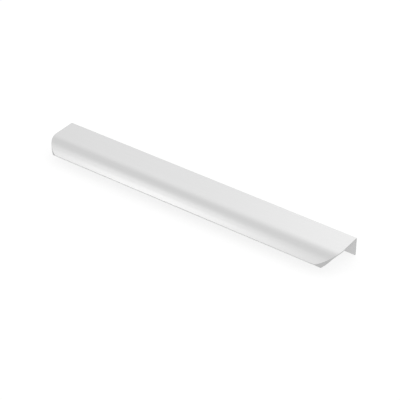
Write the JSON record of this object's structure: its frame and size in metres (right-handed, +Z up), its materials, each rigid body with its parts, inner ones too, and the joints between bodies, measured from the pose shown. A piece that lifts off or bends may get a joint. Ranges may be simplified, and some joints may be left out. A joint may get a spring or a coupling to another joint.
{
  "type": "edge pull",
  "caption": "Edge pull of extruded aluminium: a flat flange over the panel's edge, a screw leg behind it and a rounded finger lip in front.",
  "frame": {"origin": "bottom centre of the pull's box, level with the foot of the leg", "axes": "+X along the pull, -Y towards the front where the fingers go, +Z up, square to the flange"},
  "size_m": [0.3, 0.0412, 0.0172],
  "materials": {
    "anodised_aluminium": "satin anodised"
  },
  "bodies": {
    "root": {"edge_pull": "anodised_aluminium"}
  },
  "joints": []
}
